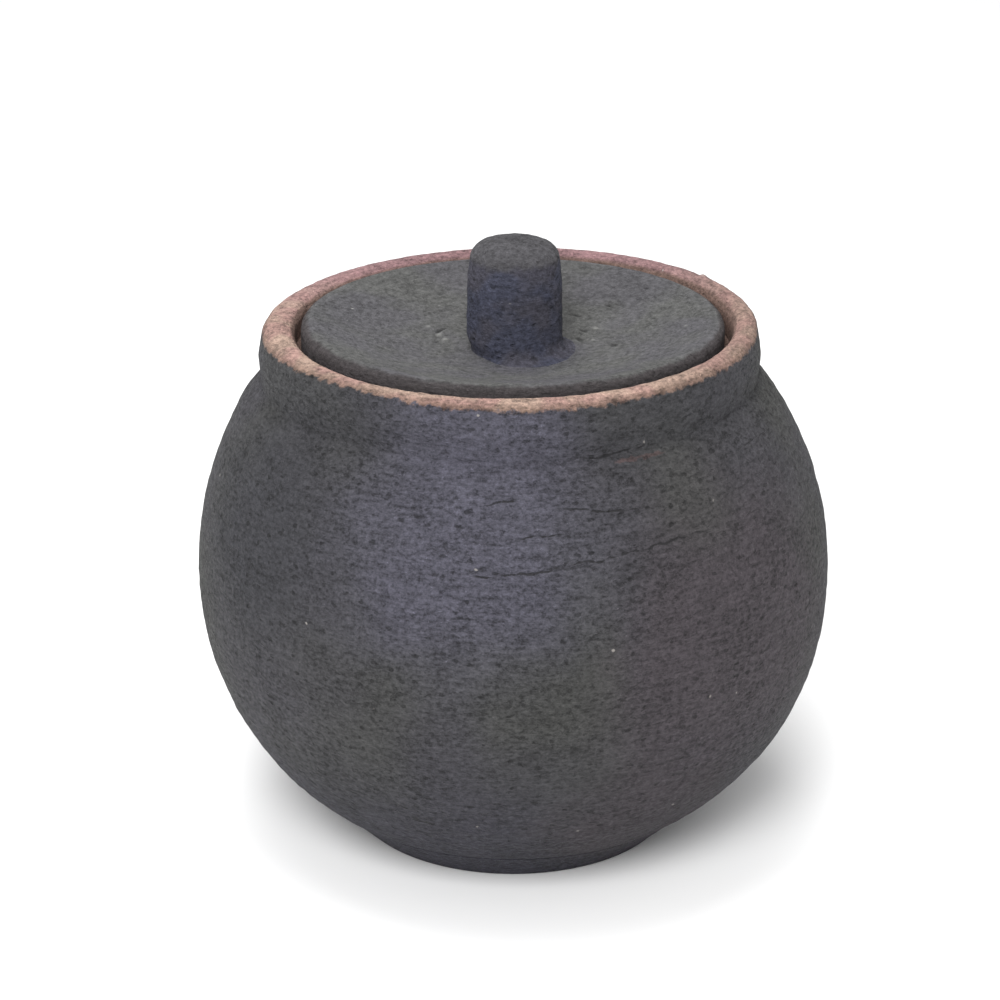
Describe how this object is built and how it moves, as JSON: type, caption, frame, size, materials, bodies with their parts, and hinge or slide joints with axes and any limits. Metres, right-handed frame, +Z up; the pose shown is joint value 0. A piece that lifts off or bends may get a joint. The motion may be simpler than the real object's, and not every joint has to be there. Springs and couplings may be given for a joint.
{
  "type": "lidded go stone bowl",
  "caption": "Round stoneware bowl for go stones, with an upright collar and a dished drop-in lid that lifts off by its round knob.",
  "frame": {"origin": "centre of the foot's underside, on the surface that the bowl stands on", "axes": "+Z up along the axis that the bowl and lid were turned about; +X and +Y are level"},
  "size_m": [0.13, 0.13, 0.1259],
  "materials": {
    "charcoal_stoneware": "matte, unglazed, coarse charcoal clay with fine turning marks and small pits",
    "bare_stoneware": "matte, unglazed brown clay",
    "lid_stoneware": "matte, unglazed grey clay with pits and a few pale grains",
    "knob_stoneware": "matte, unglazed dark blue-grey clay"
  },
  "bodies": {
    "bowl": {"bowl_body": "charcoal_stoneware", "foot_ring": "charcoal_stoneware", "collar": "charcoal_stoneware", "lid_seat": "bare_stoneware"},
    "lid": {"lid_disc": "lid_stoneware", "lid_knob": "knob_stoneware"}
  },
  "joints": [
    {"name": "lid_lift", "type": "slide", "parent": "bowl", "child": "lid", "axis": [0, 0, 1], "range_m": [0, 0.04]}
  ]
}
